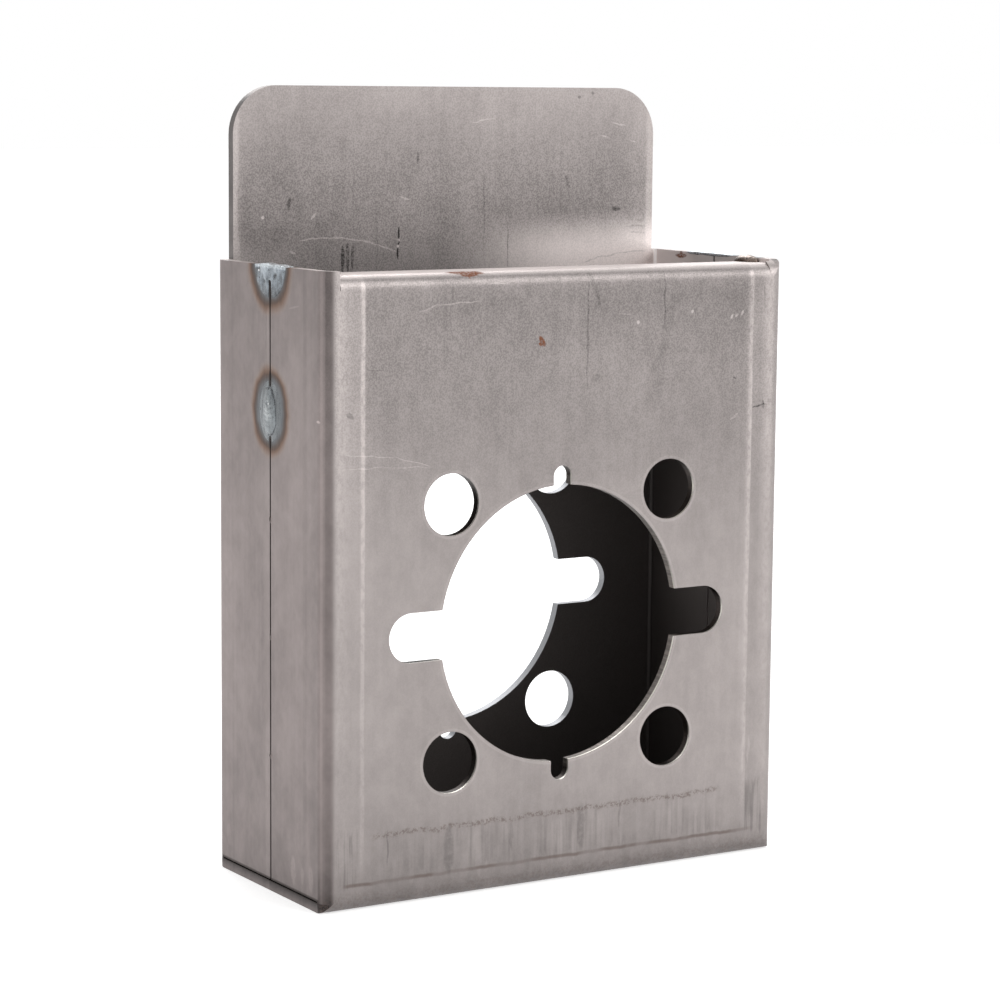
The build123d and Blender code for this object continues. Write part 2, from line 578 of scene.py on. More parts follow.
@dataclass(frozen=True)
class BareSteel(Finish):
    """Mill-finish steel sheet with grain, press-brake marks, scratches, heat tint, a little rust, and painted
    light and shade.
    """

    title: str = "bare_steel_sheet"
    colour: Colour = (0.325, 0.293, 0.284)
    side_colour: Colour = (0.336, 0.287, 0.278)
    inside_shade_colour: Colour = (0.085, 0.074, 0.070)
    rust_colour: Colour = (0.21, 0.068, 0.026)
    smudge_colour: Colour = (0.13, 0.088, 0.072)
    soot_and_shade_colour: Colour = (0.030, 0.021, 0.018)
    cut_wall_colour_and_shade: Colour = (0.17, 0.148, 0.135)
    hole_wall_shade_colour: Colour = (0.028, 0.019, 0.016)
    rear_wall_colour: Colour = (0.30, 0.305, 0.32)
    rim_highlight_colour: Colour = (0.86, 0.83, 0.76)
    metallic: float = 0.85
    roughness: float = 0.46
    marks: tuple[Mark, ...] = ()
    rust: tuple[Mark, ...] = ()
    heats: tuple[Heat, ...] = ()
    tint: tuple[tuple[float, Colour], ...] = (
        (0.0, (0.21, 0.232, 0.245)),
        (0.50, (0.165, 0.18, 0.19)),
        (0.66, (0.115, 0.118, 0.125)),
        (0.74, (0.080, 0.062, 0.056)),
        (0.80, (0.085, 0.050, 0.036)),
        (0.87, (0.150, 0.084, 0.054)),
        (0.95, (0.215, 0.140, 0.100)),
        (1.0, (0.255, 0.190, 0.155)),
    )
    # Painted shade down the front panel, by height.
    front_shade_by_height: tuple[Spot, ...] = (
        (16.0, -0.02), (26.0, 0.0), (40.0, 0.03), (56.0, 0.03), (66.0, -0.02), (74.0, -0.06), (82.0, -0.13),
        (90.0, -0.18), (98.0, -0.19), (104.0, -0.21), (110.0, -0.27), (114.0, -0.28), (117.0, -0.18),
    )
    tab_shade_by_height: tuple[Spot, ...] = (
        (116.0, -0.27), (121.0, -0.27), (127.0, -0.27), (130.0, -0.25), (135.0, -0.22), (140.0, -0.16),
        (145.0, -0.08), (149.0, -0.01), (153.4, 0.07),
    )
    tab_edge_highlights: tuple[Spot, ...] = (
        (2.9, 1.0), (3.9, 1.0), (4.5, 0.10), (6.0, 0.0), (91.0, 0.0), (94.0, 0.10), (98.8, 0.26), (99.4, 0.9),
        (100.8, 1.0),
    )
    left_die_marks: tuple[Spot, ...] = (
        (2.2, 0.0), (2.5, 0.15), (3.0, 0.25), (3.7, 0.22), (4.6, 0.14), (5.8, 0.05), (7.3, 0.03), (7.6, 0.14),
        (7.8, 0.38), (8.35, 0.40), (8.6, 0.08), (9.6, 0.03), (12.0, 0.0),
    )
    right_die_marks: tuple[Spot, ...] = (
        (94.0, 0.0), (94.8, 0.04), (95.3, 0.20), (95.7, 0.40), (96.2, 0.36), (96.45, -0.07), (98.3, -0.07),
        (99.2, 0.08), (100.3, 0.24), (101.0, 0.24), (101.8, 0.08), (102.6, 0.0),
    )

    # Painted shade along the bottom of the front, by height.
    bottom_shade_by_height: tuple[Spot, ...] = ((1.5, -0.34), (4.0, -0.19), (8.0, -0.11), (13.0, -0.05), (19.0, 0.0))
    side_shade_by_height: tuple[Spot, ...] = (
        (2.0, -0.44), (8.0, -0.38), (18.0, -0.31), (34.0, -0.25), (80.0, -0.23), (100.0, -0.24),
        (119.0, -0.31),
    )
    side_lines_and_highlights: tuple[Spot, ...] = (
        (2.6, -0.05), (6.6, 0.0), (7.0, -0.05), (8.0, -0.05), (8.6, 0.02), (14.0, 0.0), (21.8, -0.02),
        (22.2, 0.09), (23.0, 0.03), (24.0, -0.03), (30.0, 0.0), (36.6, 0.02), (37.2, -0.04), (38.0, 0.02),
        (41.8, 0.05), (44.4, 0.14),
    )
    # Tones of the painted dark reflection on the left bend, low down and high up.
    left_bend_reflection_tones: Spot = (-0.06, -0.24)
    # Tone of the painted highlight along the top bend.
    top_bend_highlight_tone: float = 0.7
    tab_reflection_tone: float = 1.60
    painted_wall_light_tone: float = 1.5
    darkest_tone: float = 0.10

    def marked(self, graph: Graph, at: Surface, marks: tuple[Mark, ...]) -> Socket:
        """Return the tone that the marks add.

        Args:
            graph: the tree.
            at: the place on the box.
            marks: the marks to lay down.

        Returns:
            The sum of their tones.
        """
        tone: Value = 0.0
        for face in dict.fromkeys(mark.face for mark in marks):
            flat = at.flat(graph, face)
            laid: Value = 0.0
            for mark in (m for m in marks if m.face is face):
                for leg in mark.legs():
                    laid = Stencil.lay(graph, flat, leg, mark, laid)
            tone = graph.math("MULTIPLY_ADD", laid, at.on(graph, face), tone)
        return tone

    def grain(self, graph: Graph, at: Surface) -> tuple[Socket, Socket]:
        """Lay the rolled surface: clouds, patches, fine grain and pits.

        Args:
            graph: the tree.
            at: the place on the box.

        Returns:
            Its tone, and its height in millimetres.
        """
        clouds = graph.swing(graph.noise(at.point, (24.0, 24.0, 30.0), 2.0, 0.6), 0.055)
        patches = graph.swing(graph.noise(at.point, (3.6, 3.6, 5.0), 3.0, 0.7), 0.06)
        salt = graph.noise(at.point, (0.27, 0.27, 0.31), 1.0, 0.6)
        coarse = graph.add(
            graph.times(at.on(graph, Face.FRONT), graph.rise(at.z, 62.0, 108.0, (-0.05, 0.75))),
            graph.times(at.on(graph, Face.TAB), graph.rise(at.z, 150.0, 132.0, (0.55, 1.0))),
            0.20,
        )
        smooth_bend = graph.times(graph.rise(at.out_x, -0.12, -0.3), 0.8)
        coarse = graph.times(coarse, graph.rest(smooth_bend))
        speckle = graph.times(graph.swing(salt, 0.17), coarse)
        pits = graph.times(graph.rise(salt, 0.68, 0.78, (0.0, -0.16)), coarse)
        streaks = graph.swing(graph.noise(at.point, (1.6, 1.6, 80.0), 2.0, 0.6), 0.022)
        tone = graph.add(clouds, patches, speckle, pits, streaks)
        height = graph.times(graph.times(salt, coarse), 0.016)
        return tone, height

    def front_level(self, graph: Graph, at: Surface) -> tuple[Socket, Socket]:
        """Lay the painted shade of the front panel, darker towards its top and its bottom, and the marks that
        the press brake left on it.

        Args:
            graph: the tree.
            at: the place on the box.

        Returns:
            Their tone, and the height of the marks.
        """
        front = at.on(graph, Face.FRONT)
        across = at.across(graph)
        wander = graph.swing(graph.noise(at.point, (3.0, 3.0, 11.0), 1.0), 0.05)
        read = graph.add(across, wander)
        flecks = graph.rise(graph.noise(at.point, (0.8, 0.8, 1.6), 2.0, 0.7), 0.3, 0.6, (0.45, 1.1))
        swell = graph.times(graph.rise(at.z, 15.0, 105.0, (0.45, 1.3)), flecks)
        left = graph.profile(read, self.left_die_marks)
        right = graph.profile(read, self.right_die_marks)
        dies = graph.times(graph.add(left, right), swell, graph.rise(at.out_z, 0.75, 0.35))
        dies = graph.times(dies, graph.rise(at.z, 4.0, 12.0))
        # Painted shade: the front darkens towards its top and towards its bottom.
        between = graph.band(across, 52.3, 43.4, 0.7)
        high = graph.times(graph.profile(at.z, self.front_shade_by_height), between)
        low = graph.profile(at.z, self.bottom_shade_by_height)
        tone = graph.times(graph.add(dies, high, low), front)
        return tone, graph.times(graph.add(left, right), front, 0.05)

    def bends(self, graph: Graph, at: Surface) -> Socket:
        """Lay painted light on the bends: a painted dark reflection with a painted bright band on the upright
        one at the left, and a painted highlight along the top.

        Args:
            graph: the tree.
            at: the place on the box.

        Returns:
            Their tone.
        """
        # Painted reflection on the left upright bend: a dark band, and a bright band on its side towards the
        # left face.
        turn = graph.math("SUBTRACT", at.out_x, at.out_y)
        near = graph.times(graph.rise(at.y, -19.3, -19.7), graph.rise(at.x, -48.9, -49.2))
        dull = graph.band(turn, 0.29, 0.28, 0.26)
        dull = graph.times(dull, near, graph.rise(at.out_x, -0.06, -0.16))
        dull = graph.times(dull, graph.rise(at.z, 20.0, 112.0, self.left_bend_reflection_tones))
        bright = graph.times(graph.band(turn, -0.50, 0.08, 0.14), near, 0.12)
        # Painted highlight on the up-facing part of the top bend of the front.
        top = graph.times(graph.rise(at.z, 115.9, 116.9), graph.rise(at.y, -12.0, -13.0))
        top = graph.times(top, graph.rise(at.z, 120.6, 120.5))
        crown = graph.times(graph.rise(at.out_z, 0.62, 0.86), top, graph.rise(graph.size(at.x), 50.6, 50.2))
        return graph.add(dull, bright, graph.times(crown, self.top_bend_highlight_tone))

    def side_level(self, graph: Graph, at: Surface) -> Socket:
        """Lay the left side: painted shade, a little darker than the front and darker towards the bottom,
        with lines that include painted highlights by the seam and the back edge.

        Args:
            graph: the tree.
            at: the place on the box.

        Returns:
            Its tone.
        """
        left = at.on(graph, Face.LEFT)
        from_front = graph.add(at.y, BOX.half_depth)
        # Painted shade by height, and lines across the side, among them painted highlights beside the seam
        # and along the back edge.
        level = graph.profile(at.z, self.side_shade_by_height)
        across = graph.profile(from_front, self.side_lines_and_highlights)
        return graph.times(graph.add(level, across), left)

    def tab_level(self, graph: Graph, at: Surface) -> Socket:
        """Lay the tab: painted shade low down, painted highlights on its edges and a painted reflection at
        its lower right.

        Args:
            graph: the tree.
            at: the place on the box.

        Returns:
            Its tone.
        """
        tab = at.on(graph, Face.TAB)
        across = at.across(graph)
        # Painted shade: the tab darker low down.
        high = graph.profile(at.z, self.tab_shade_by_height)
        # Painted reflection: a bright patch at the tab's lower right.
        painted_reflection = graph.times(graph.rise(across, 48.0, 84.0), graph.rise(at.z, 129.0, 119.5))
        painted_reflection = graph.times(painted_reflection, self.tab_reflection_tone)
        corner = graph.times(graph.rise(across, 22.0, 5.0), graph.rise(at.z, 124.5, 119.0), 0.30)
        wander = graph.swing(graph.noise(at.point, (3.0, 3.0, 9.0), 1.0), 0.25)
        read = graph.add(across, wander)
        # Painted highlights along the tab's side edges.
        edge = graph.profile(read, self.tab_edge_highlights)
        edge = graph.times(edge, graph.rise(at.z, 117.5, 123.0), graph.math("SUBTRACT", 0.34, high))
        return graph.times(graph.add(high, painted_reflection, corner, edge), tab)

    def bottom_marks(self, graph: Graph, at: Surface) -> tuple[Socket, Socket]:
        """Lay the rubbed strip along the bottom of the front.

        Args:
            graph: the tree.
            at: the place on the box.

        Returns:
            Its tone, and how strong its brown smudges are.
        """
        front = at.on(graph, Face.FRONT)
        across = at.across(graph)
        strokes = graph.noise(at.point, (1.1, 1.1, 20.0), 2.0, 0.55)
        patches = graph.rise(graph.noise(at.point, (6.0, 6.0, 16.0), 2.0, 0.6), 0.36, 0.62, (0.2, 1.0))
        ragged = graph.add(at.z, graph.swing(strokes, 1.6))
        strip = graph.times(graph.band(across, 51.0, 38.0, 2.5), graph.band(ragged, 9.3, 3.6, 1.2), patches)
        tone = graph.times(graph.rise(strokes, 0.30, 0.70, (-0.17, 0.10)), strip)
        scuffs = graph.add(graph.band(across, 4.8, 1.9, 0.9), graph.band(across, 98.2, 2.2, 0.9))
        scuffs = graph.times(scuffs, graph.band(ragged, 10.5, 4.4, 1.8), graph.rise(strokes, 0.46, 0.62))
        tone = graph.add(tone, graph.times(scuffs, -0.24))
        grit = graph.noise(at.point, (0.55, 0.55, 0.6), 2.0, 0.8)
        wobble = graph.swing(graph.noise(at.point, (5.0, 5.0, 60.0), 2.0, 0.7), 0.45)
        upper = graph.band(graph.add(at.z, wobble), 13.8, 0.18, 0.6)
        upper = graph.times(upper, graph.rise(grit, 0.44, 0.62), 0.8, graph.band(across, 50.0, 38.0, 3.0))
        lower = graph.band(graph.add(at.z, graph.times(wobble, 0.35)), 5.0, 0.10, 0.42)
        lower = graph.times(lower, graph.band(across, 51.0, 46.0, 1.5))
        lower = graph.times(lower, graph.rise(patches, 0.2, 0.9, (0.35, 0.8)))
        grime = graph.times(graph.rise(at.z, 4.6, 1.8), graph.rise(grit, 0.45, 0.62), 0.4)
        stain = graph.times(graph.add(upper, lower, grime), front)
        return graph.times(tone, front), stain

    def heat(self, graph: Graph, at: Surface) -> tuple[Socket, Socket]:
        """Lay the heat tint round the welds.

        Args:
            graph: the tree.
            at: the place on the box.

        Returns:
            Its colour, and how much of it covers the steel.
        """
        ripple = graph.swing(graph.noise(at.point, (4.0, 4.0, 4.0), 1.0), 0.035)
        nearest: Value = 9.0
        for heat in self.heats:
            sizes = (1.0 / heat.half_width, 1.0 / heat.half_width, 1.0 / heat.half_height)
            away = graph.vector("SUBTRACT", at.point, heat.centre)
            off = graph.vector("LENGTH", graph.vector("MULTIPLY", away, sizes))
            nearest = graph.math("MINIMUM", nearest, off)
        reach = graph.times(graph.add(nearest, ripple), 0.93)
        streaky = graph.noise(at.point, (0.5, 0.5, 2.2), 2.0, 0.7)
        colour = graph.scaled(graph.ramp(reach, self.tint), graph.rise(streaky, 0.3, 0.7, (0.88, 1.12)))
        return colour, graph.rise(reach, 1.10, 0.80)

    def openings(self, graph: Graph, at: Surface, colour: Socket) -> tuple[Socket, Socket]:
        """Lay the colours of the cut walls of the openings over the sheet's: their own dark oxide with
        painted shade, and a painted highlight on their lit rims at the front face.

        Args:
            graph: the tree.
            at: the place on the box.
            colour: the sheet's colour.

        Returns:
            The colour, and the tone of the burnished ring on the panel round each opening.
        """
        up = graph.math("SUBTRACT", at.z, BOX.bore_height)
        flat = graph.join(graph.size(at.x), graph.size(up), 0.0)
        from_bore = graph.vector("LENGTH", flat)
        from_bolt = graph.vector("DISTANCE", flat, (BOX.bolt_offset, BOX.bolt_offset, 0.0))
        # Painted shade on the cut walls of the openings, over their own dark oxide; darkest in the bolt holes
        # and in the walls further out than the bore.
        hole_wall_shade = graph.math("MAXIMUM", graph.rise(from_bolt, 6.5, 6.2), graph.rise(from_bore, 28.2, 29.0))
        wall = graph.times(graph.rise(graph.size(at.out_y), 0.4, 0.2), graph.rise(from_bore, 43.0, 42.0))
        in_front = graph.times(wall, graph.rise(at.y, -20.2, -20.3))
        in_rear = graph.times(wall, graph.rise(at.y, 20.2, 20.3))
        ribs = graph.noise(at.point, (0.5, 60.0, 0.5), 2.0, 0.7)
        shade = graph.rise(ribs, 0.3, 0.7, (0.72, 1.35))
        cut = graph.scaled(graph.blend(hole_wall_shade, self.cut_wall_colour_and_shade, self.hole_wall_shade_colour), shade)
        # Painted highlight on the lit rims of the openings at the front face.
        lit = graph.math("SUBTRACT", graph.times(at.out_z, 0.8), graph.times(at.out_x, 0.6))
        rim_highlight = graph.times(graph.rise(at.y, -21.70, -21.95), graph.rise(lit, 0.1, 0.7, (0.12, 0.95)))
        cut = graph.blend(rim_highlight, cut, self.rim_highlight_colour)
        colour = graph.blend(in_front, colour, cut)
        colour = graph.blend(in_rear, colour, self.rear_wall_colour)
        ring = graph.math(
            "MAXIMUM", graph.band(from_bolt, 6.3, 0.14, 0.2), graph.band(from_bore, 27.35, 0.14, 0.2)
        )
        return colour, graph.times(ring, at.on(graph, Face.FRONT), 0.13)

    def cut_edges(self, graph: Graph, at: Surface) -> Socket:
        """Lay the sheet's cut edges: a painted highlight on the tops of the sides with painted shade at the
        tops of the front bends, the tab's dark edges, and painted shade on the web's.

        Args:
            graph: the tree.
            at: the place on the box.

        Returns:
            Their tone.
        """
        # Painted highlight on the tops of the sides, with painted shade at the top ends of the upright bends
        # at the front.
        top = graph.times(graph.rise(at.out_z, 0.75, 0.9), graph.rise(at.z, 119.6, 119.8))
        top = graph.times(top, graph.rise(at.y, -19.2, -19.6, (0.34, -0.55)))
        rear = graph.rise(at.y, 20.2, 20.3)
        tab = graph.times(graph.rise(graph.size(at.out_y), 0.5, 0.3), rear)
        tab = graph.times(tab, graph.rise(at.z, 119.9, 120.1))
        tab = graph.times(tab, graph.rise(at.out_z, 0.2, 0.7, (-0.55, -0.72)))
        # Painted shade on the web's edge, darker towards its top.
        web = graph.times(graph.rise(at.z, 1.95, 1.85), graph.rise(at.out_x, -0.5, -0.8))
        web = graph.times(web, graph.rise(at.z, 0.1, 1.7, (0.0, -0.35)))
        return graph.add(top, tab, web)

    def dress(self, graph: Graph, shader: bpy.types.Node) -> None:
        """Lay all layers of the finish into the shader.

        Args:
            graph: the material's tree.
            shader: its principled shader.
        """
        at = Surface.read(graph)
        worn = graph.rise(graph.noise(at.point, (1.1, 1.1, 1.1), 2.0, 0.65), 0.32, 0.50, (0.45, 1.0))
        mark_tone = graph.times(self.marked(graph, at, self.marks), worn)
        grain_tone, grain_height = self.grain(graph, at)
        front_tone, front_height = self.front_level(graph, at)
        bottom_tone, stain = self.bottom_marks(graph, at)
        # Painted light on the top of the right side's inside; there it also takes off some heat tint and some
        # metal shine.
        painted_wall_light = graph.times(at.on(graph, Face.RIGHT_INSIDE), graph.rise(at.z, 107.0, 115.0))
        tone = graph.add(
            1.0, front_tone, self.bends(graph, at), self.side_level(graph, at), self.tab_level(graph, at),
            bottom_tone, graph.times(painted_wall_light, self.painted_wall_light_tone), self.cut_edges(graph, at), grain_tone,
            mark_tone,
        )
        tone = graph.math("MAXIMUM", tone, self.darkest_tone)
        base = graph.blend(at.on(graph, Face.LEFT), self.colour, self.side_colour)
        colour = graph.scaled(base, tone)
        inside = self.inside(graph, at)
        # Painted shade over the inside of the closed part, darker still in its upright inside corners.
        painted_inside_shade = graph.scaled(graph.join(*self.inside_shade_colour), self.corner_shade(graph, at))
        colour = graph.blend(inside, colour, painted_inside_shade)
        tint, tinted = self.heat(graph, at)
        tinted = graph.times(tinted, graph.rest(graph.times(painted_wall_light, 0.85)))
        colour = graph.blend(tinted, colour, tint)
        colour = graph.blend(self.soot_and_shade(graph, at), colour, self.soot_and_shade_colour)
        colour = graph.blend(graph.times(stain, 0.7), colour, self.smudge_colour)
        colour, ring = self.openings(graph, at, colour)
        colour = graph.scaled(colour, graph.add(1.0, ring))
        crust = graph.rise(graph.noise(at.point, (0.5, 0.5, 0.5), 2.0, 0.7), 0.35, 0.6, (0.5, 1.0))
        rust_mask = graph.times(graph.math("MINIMUM", self.marked(graph, at, self.rust), 1.0), crust)
        colour = graph.blend(rust_mask, colour, self.rust_colour)
        graph.feed(shader.inputs["Base Color"], colour)
        dull = graph.math("MAXIMUM", rust_mask, graph.times(stain, 0.5))
        dull = graph.math("MAXIMUM", dull, graph.times(painted_wall_light, 0.6))
        graph.feed(shader.inputs["Metallic"], graph.times(graph.rest(dull), self.metallic))
        rough = graph.add(self.roughness, graph.times(grain_tone, -0.22), graph.times(dull, 0.35))
        rough = graph.add(rough, graph.times(tinted, -0.06), graph.times(inside, 0.16))
        graph.feed(shader.inputs["Roughness"], rough)
        self.emboss(graph, shader, graph.add(grain_height, front_height))

    def inside(self, graph: Graph, at: Surface) -> Socket:
        """Find the inside of the closed part of the box, which takes painted shade.

        Args:
            graph: the tree.
            at: the place on the box.

        Returns:
            How far the surface lies in it, from 0 to 0.94.
        """
        across = graph.rise(graph.size(at.x), 50.1, 49.96)
        along = graph.rise(graph.size(at.y), 20.6, 20.4)
        return graph.times(across, along, graph.rise(at.z, 116.8, 101.0), 0.94)

    def corner_shade(self, graph: Graph, at: Surface) -> Socket:
        """Find the upright inside corners, where the painted shade is darker still.

        Args:
            graph: the tree.
            at: the place on the box.

        Returns:
            The share of the painted shade colour that is left there.
        """
        across = graph.rise(graph.size(at.x), 49.0, 49.4)
        along = graph.rise(graph.size(at.y), 19.4, 19.8)
        return graph.rest(graph.times(across, along, 0.6))

    def soot_and_shade(self, graph: Graph, at: Surface) -> Socket:
        """Lay soot with painted shade of the open seam along the seams, wider under the top weld and near the
        middle one, and a painted shadow line low on the sides, over the web.

        Args:
            graph: the tree.
            at: the place on the box.

        Returns:
            How far it covers the steel.
        """
        # Along the seams: painted shade of the open seam, widened by soot near the welds.
        off = graph.size(graph.math("SUBTRACT", at.y, BOX.seam_y))
        side = graph.rise(graph.size(at.x), 51.0, 51.6)
        widths = graph.add(
            0.21,
            graph.times(graph.rise(at.z, 111.5, 116.0), graph.rise(at.z, 117.3, 116.8), 0.34),
            graph.times(graph.band(at.z, 98.4, 0.8, 1.2), 0.32),
            graph.times(graph.band(at.z, 87.0, 0.6, 1.0), 0.30),
        )
        share = graph.math("DIVIDE", off, widths)
        seam = graph.times(graph.rise(share, 1.5, 0.7), graph.rise(at.z, 1.6, 2.2))
        # Painted shadow line low on the sides, over the web.
        web = graph.times(graph.band(at.z, 2.1, 0.28, 0.4), graph.band(at.y, 0.0, 19.8, 0.5))
        return graph.times(graph.math("MAXIMUM", seam, web), side, 0.93)


@dataclass(frozen=True)
class WeldMetal(Finish):
    """Cooled weld metal: blue-grey and rippled, dark where it lies low on the sheet, with painted shade round
    the foot of its core and a pale crown that is partly a painted highlight.
    """

    title: str = "weld_bead_metal"
    # Colours by height over the sheet: the dark stop is painted shade at the foot of the core, and the top
    # stops are partly a painted highlight.
    heights: tuple[tuple[float, Colour], ...] = (
        (0.0, (0.15, 0.16, 0.168)),
        (0.20, (0.17, 0.182, 0.19)),
        (0.27, (0.035, 0.036, 0.04)),
        (0.38, (0.17, 0.185, 0.195)),
        (0.75, (0.205, 0.222, 0.232)),
        (1.0, (0.30, 0.318, 0.325)),
    )
    full_height: float = 0.72
    pit_colour: Colour = (0.02, 0.02, 0.024)
    painted_glint_colour: Colour = (0.95, 0.95, 0.95)
    painted_glint: Point = (52.2, -1.0, 94.0)
    painted_glint_radius: float = 0.42
    metallic: float = 0.9
    roughness: float = 0.32

    def over_sheet(self, graph: Graph, at: Surface) -> Socket:
        """Measure the height over the sheet.

        Args:
            graph: the tree.
            at: the place on the box.

        Returns:
            The height as a share of the full height of a bead.
        """
        beside = graph.math("SUBTRACT", graph.size(at.x), BOX.half_width)
        above = graph.math("SUBTRACT", at.z, BOX.front_top)
        over = graph.math("MAXIMUM", beside, above)
        return graph.math("DIVIDE", over, self.full_height)

    def dress(self, graph: Graph, shader: bpy.types.Node) -> None:
        """Lay the flow pattern, the specks and the bump into the shader.

        Args:
            graph: the material's tree.
            shader: its principled shader.
        """
        at = Surface.read(graph)
        flow = graph.noise(at.point, (1.1, 1.1, 2.6), 3.0, 0.55)
        fine = graph.noise(at.point, (0.35, 0.35, 0.35), 2.0, 0.7)
        over = graph.add(self.over_sheet(graph, at), graph.swing(flow, 0.10))
        shade = graph.rise(graph.add(flow, graph.swing(fine, 0.12)), 0.3, 0.7, (0.78, 1.24))
        colour = graph.scaled(graph.ramp(over, self.heights), shade)
        specks = graph.rise(graph.noise(at.point, (0.9, 0.9, 0.9), 2.0), 0.68, 0.73)
        colour = graph.blend(specks, colour, self.pit_colour)
        # Painted highlight: a white glint spot on the bead.
        place = graph.join(graph.size(at.x), at.y, at.z)
        near = graph.vector("DISTANCE", place, self.painted_glint)
        painted_glint = graph.rise(near, self.painted_glint_radius, self.painted_glint_radius / 2)
        colour = graph.blend(painted_glint, colour, self.painted_glint_colour)
        graph.feed(shader.inputs["Base Color"], colour)
        shader.inputs["Metallic"].default_value = self.metallic
        graph.feed(shader.inputs["Roughness"], graph.add(self.roughness, graph.swing(fine, 0.12)))
        self.emboss(graph, shader, graph.times(graph.add(flow, graph.times(fine, 0.4)), 0.07))


def marks_on(face: Face, *rows: tuple[tuple[Spot, ...], float, float]) -> tuple[Mark, ...]:
    """Return the marks of one face, from rows of path, half width and tone."""
    return tuple(Mark(face, *row) for row in rows)


FRONT_MARKS = marks_on(
    Face.FRONT,
    (((20.0, 112.2), (24.5, 113.4), (33.0, 113.6)), 0.13, 0.34),
    (((35.0, 116.8), (39.2, 117.1)), 0.13, 0.28),
    (((57.3, 96.0), (57.1, 119.1)), 0.20, -0.26),
    (((75.0, 108.0), (75.0, 117.8)), 0.22, -0.30),
    (((76.9, 113.2), (74.6, 103.0)), 1.1, -0.10),
    (((74.4, 102.5), (72.0, 92.0)), 1.9, -0.08),
    (((57.6, 118.6), (60.0, 112.0)), 0.5, -0.14),
    (((59.2, 98.4),), 0.8, -0.12),
    (((25.4, 99.0), (25.6, 118.0)), 0.5, -0.07),
    (((98.9, 110.0), (99.2, 118.0)), 0.25, -0.16),
    (((4.5, 86.3), (15.0, 85.3), (22.5, 83.3)), 0.11, 0.30),
    (((4.0, 83.6), (13.0, 83.5), (22.5, 83.1)), 0.10, 0.24),
    (((96.5, 90.8), (99.6, 91.3)), 0.2, -0.55),
    (((99.0, 91.8), (99.1, 90.8)), 0.35, -0.5),
    (((91.0, 108.7), (91.3, 109.1)), 0.28, 0.55),
    (((92.2, 109.0), (92.5, 109.4)), 0.26, 0.50),
    (((93.5, 109.4), (93.8, 109.9)), 0.28, 0.55),
    (((91.6, 115.9), (93.4, 115.6)), 0.14, 0.22),
    (((81.6, 110.3),), 0.36, 0.70),
    (((68.8, 108.6),), 0.34, 0.62),
    (((64.3, 110.4), (67.4, 110.0)), 0.13, 0.20),
    (((91.4, 88.6), (93.0, 89.6)), 0.2, 0.30),
    (((91.8, 96.9), (92.4, 96.6)), 0.2, -0.4),
    (((5.0, 93.6), (5.6, 93.3)), 0.5, -0.35),
    (((9.0, 101.8), (13.0, 101.6)), 0.12, -0.15),
    (((18.0, 105.2), (27.0, 104.7)), 0.10, -0.10),
    (((27.0, 117.6), (27.0, 113.0)), 0.2, -0.12),
    (((57.0, 7.0), (57.0, 14.0)), 0.9, -0.22),
    (((27.0, 6.0), (27.0, 13.0)), 1.1, -0.18),
    (((41.0, 8.0), (41.0, 13.4)), 0.4, -0.14),
    (((66.0, 9.0), (66.0, 15.0)), 0.25, -0.18),
    (((13.6, 8.0), (13.6, 14.6)), 0.2, -0.25),
    (((95.6, 17.0), (96.0, 27.0)), 0.25, 0.10),
    (((97.0, 19.0), (97.2, 24.0)), 0.3, 0.14),
)
TAB_MARKS = marks_on(
    Face.TAB,
    (((65.2, 117.0), (65.2, 125.4)), 0.14, -0.62),
    (((59.5, 119.0), (59.6, 136.0)), 0.16, -0.22),
    (((27.1, 117.2), (27.1, 121.6)), 0.42, -0.50),
    (((28.2, 117.2), (28.2, 122.2)), 0.40, -0.50),
    (((29.3, 117.4), (29.3, 122.0)), 0.34, -0.40),
    (((39.6, 119.4), (39.6, 121.4)), 0.22, -0.85),
    (((39.7, 122.0), (39.7, 122.9)), 0.2, -0.6),
    (((39.7, 123.4), (39.8, 125.4)), 0.22, -0.85),
    (((39.6, 121.7),), 0.3, 0.8),
    (((39.7, 123.1),), 0.25, 0.7),
    (((17.0, 123.3), (22.0, 123.75), (27.0, 123.6), (31.0, 123.2), (35.0, 122.2), (39.5, 120.5)), 0.17, 0.40),
    (((9.3, 128.0),), 0.35, 0.7),
    (((20.2, 127.4), (20.9, 128.4)), 0.25, 0.45),
    (((40.2, 131.5), (42.0, 131.0)), 0.22, 0.45),
    (((15.2, 121.2), (16.4, 120.9)), 0.2, 0.4),
    (((15.2, 131.2), (15.0, 129.8)), 0.5, -0.34),
    (((44.0, 140.2), (44.0, 138.4)), 0.3, -0.3),
    (((79.3, 135.2), (79.8, 133.0)), 0.4, -0.32),
    (((91.0, 128.6), (92.2, 128.6)), 0.5, -0.36),
    (((94.5, 124.8), (99.0, 124.9)), 0.2, -0.3),
    (((95.5, 123.6), (98.9, 123.5)), 0.2, -0.25),
    (((95.0, 126.1), (98.7, 126.0)), 0.16, -0.2),
    (((82.4, 151.4),), 0.35, -0.45),
    (((85.6, 152.3),), 0.35, -0.45),
    (((56.5, 146.4), (61.6, 146.9)), 0.14, 0.30),
    (((90.6, 146.2), (93.6, 145.8)), 0.16, 0.36),
    (((87.6, 143.6), (89.6, 143.2)), 0.15, 0.32),
    (((95.0, 142.6), (96.4, 142.3)), 0.15, 0.32),
    (((34.8, 118.0), (34.8, 131.0)), 0.18, -0.10),
    (((29.4, 122.0), (29.4, 145.0)), 0.2, -0.07),
    (((72.3, 118.0), (72.3, 141.0)), 0.3, -0.07),
    (((78.0, 126.0), (78.0, 146.0)), 0.3, -0.06),
    (((50.0, 124.0), (50.0, 152.0)), 0.9, -0.05),
    (((84.0, 117.4), (87.4, 118.6), (93.0, 119.3), (99.3, 119.7)), 0.16, -0.5),
)
